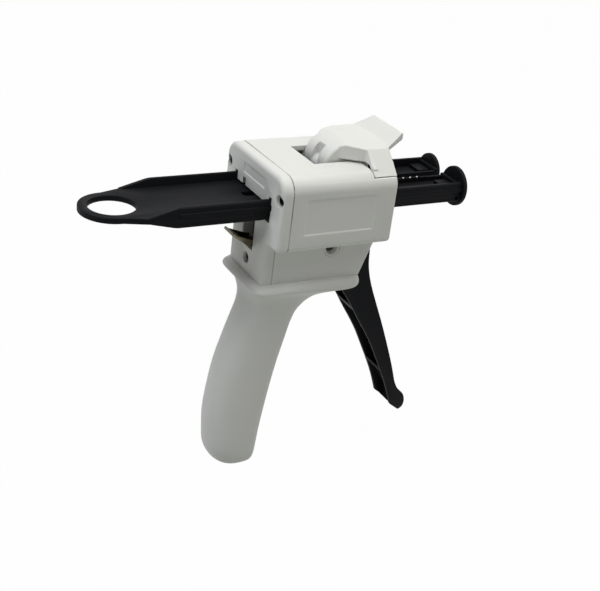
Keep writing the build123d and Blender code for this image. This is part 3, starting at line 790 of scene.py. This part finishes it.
def makeCoilTree(v):
    # a closed wire wound on a helix and laid along Y
    tree, enter, leave = newTree("coil_spring", [
        ("Turns", "NodeSocketFloat"), ("Coil radius", "NodeSocketFloat"), ("Length", "NodeSocketFloat"),
        ("Wire radius", "NodeSocketFloat"), ("Place", "NodeSocketVector"), ("Finish", "NodeSocketMaterial")])
    coil = tree.nodes.new("GeometryNodeCurveSpiral")
    coil.inputs["Resolution"].default_value = v["steps"]
    tree.links.new(enter.outputs["Turns"], coil.inputs["Rotations"])
    tree.links.new(enter.outputs["Coil radius"], coil.inputs["Start Radius"])
    tree.links.new(enter.outputs["Coil radius"], coil.inputs["End Radius"])
    tree.links.new(enter.outputs["Length"], coil.inputs["Height"])
    wire = tree.nodes.new("GeometryNodeCurvePrimitiveCircle")
    wire.inputs["Resolution"].default_value = v["wireSteps"]
    tree.links.new(enter.outputs["Wire radius"], wire.inputs["Radius"])
    skin = tree.nodes.new("GeometryNodeCurveToMesh")
    skin.inputs["Fill Caps"].default_value = True
    tree.links.new(coil.outputs["Curve"], skin.inputs["Curve"])
    tree.links.new(wire.outputs["Curve"], skin.inputs["Profile Curve"])
    smooth = tree.nodes.new("GeometryNodeSetShadeSmooth")
    tree.links.new(skin.outputs["Mesh"], smooth.inputs["Geometry"])
    lay = tree.nodes.new("GeometryNodeTransform")
    lay.inputs["Rotation"].default_value = (math.radians(-90), 0, 0)
    tree.links.new(smooth.outputs["Geometry"], lay.inputs["Geometry"])
    tree.links.new(enter.outputs["Place"], lay.inputs["Translation"])
    closeTree(tree, enter, leave, lay.outputs["Geometry"])
    return tree


springs = {
    "trigger_return_spring": {
        "node": "return_spring", "body": "housing", "turns": 4.75, "radius": 3.7, "long": 8.2, "wire": 0.8,
        "pin": (-24.6, -23.8)},
    "pawl_coil_spring": {
        "node": "pawl_spring", "body": "trigger", "turns": 9.75, "radius": 2.2, "long": 8.9, "wire": 0.38,
        "pin": (-31.5, -14.5)},
    "release_coil_spring": {
        "node": "release_spring", "body": "housing", "turns": 7.75, "radius": 2.2, "long": 7.1, "wire": 0.38,
        "pin": (-49.8, -22.0)},
    "latch_coil_spring": {
        "node": "latch_spring", "body": "housing", "turns": 2.75, "radius": 2.6, "long": 2.5, "wire": 0.4,
        "pin": (-25.0, 12.6)},
}


def makeSprings(rows):
    tree = makeCoilTree(coilShape)
    for name, v in rows.items():
        x, z = v["pin"]
        coil = grow(name, tree, {
            "Turns": v["turns"], "Coil radius": v["radius"] * mm, "Length": v["long"] * mm,
            "Wire radius": v["wire"] * mm, "Place": Vector((x, -v["long"] / 2, z)) * mm,
            "Finish": finishes["spring_steel"]})
        settle(coil, v["body"], "spring_steel", v["node"])


makeSprings(springs)


# Cover screws: one turned screw with a cross recess, copied to three places

screwShape = {
    "seat": -57.6,
    "headHigh": 2.4,
    "headRadius": 2.5,
    "shankRadius": 1.35,
    "tip": -43.9,
    "tipLong": 1.2,
    "tipRadius": 0.4,
    "domeHigh": 0.55,  # share of the head's height, and below of its radius
    "domeFlat": 0.55,
    "domeSwell": 0.45,
    "middle": 0.3,
    "domeSteps": 6,
    "steps": 40,
    "crease": 35,
    "crossLong": 3.3,
    "crossWide": 0.75,
    "crossDeep": 1.1,
    "places": [(-26.5, 6.8), (26.5, 6.8), (0.0, -32.9)],
    "turns": [0.35, -0.2, 0.6],
}


def makeScrewTree():
    # the screw on every point, turned about X by the point's own angle
    tree, enter, leave = newTree("cover_screws", [
        ("Screw", "NodeSocketObject"), ("Finish", "NodeSocketMaterial")])
    fetch = tree.nodes.new("GeometryNodeObjectInfo")
    tree.links.new(enter.outputs["Screw"], fetch.inputs["Object"])
    turn = tree.nodes.new("GeometryNodeInputNamedAttribute")
    turn.data_type = "FLOAT"
    turn.inputs["Name"].default_value = "turn"
    angle = tree.nodes.new("ShaderNodeCombineXYZ")
    tree.links.new(turn.outputs["Attribute"], angle.inputs["X"])
    copies = tree.nodes.new("GeometryNodeInstanceOnPoints")
    tree.links.new(enter.outputs["Geometry"], copies.inputs["Points"])
    tree.links.new(fetch.outputs["Geometry"], copies.inputs["Instance"])
    tree.links.new(angle.outputs["Vector"], copies.inputs["Rotation"])
    closeTree(tree, enter, leave, copies.outputs["Instances"])
    return tree


def makeScrews(v):
    seat, face = v["seat"], v["seat"] - v["headHigh"]
    r, high = v["headRadius"], v["headHigh"]
    dome = [math.pi / 2 * n / v["domeSteps"] for n in range(v["domeSteps"] + 1)]
    profile = [(face, r * v["middle"])]
    profile += [(face + high * v["domeHigh"] * (1 - math.cos(t)),
                 r * (v["domeFlat"] + v["domeSwell"] * math.sin(t))) for t in dome]
    profile += [(seat, r), (seat, v["shankRadius"]), (v["tip"] - v["tipLong"], v["shankRadius"]),
                (v["tip"], v["tipRadius"])]
    screw = pieceOf("screw", turned(profile, 0.0, 0.0, v["steps"]))
    long, wide, deep = v["crossLong"] / 2, v["crossWide"] / 2, v["crossDeep"]
    carve(screw, blockPiece(face - spare, face + deep, -long, long, -wide, wide),
          blockPiece(face - spare, face + deep, -wide, wide, -long, long))
    smoothUnder(screw, v["crease"])
    places = bpy.data.meshes.new("screw_places")
    places.from_pydata([(0, y * mm, z * mm) for y, z in v["places"]], [], [])
    turn = places.attributes.new("turn", "FLOAT", "POINT")
    turn.data.foreach_set("value", v["turns"])
    values = {"Screw": screw, "Finish": finishes["dark_steel"]}
    screws = grow("cross_head_screws", makeScrewTree(), values, places)
    bpy.data.objects.remove(screw)
    settle(screws, "housing", "dark_steel", "cover_screws")


makeScrews(screwShape)


# Pins, washers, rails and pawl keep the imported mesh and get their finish

for name, node in nodes.items():
    if node.hide_render:
        continue
    slotName = node.data.materials[0].name
    node.data.materials.clear()
    node.data.materials.append(finishes[slotName])
print("finishes on the packed parts")
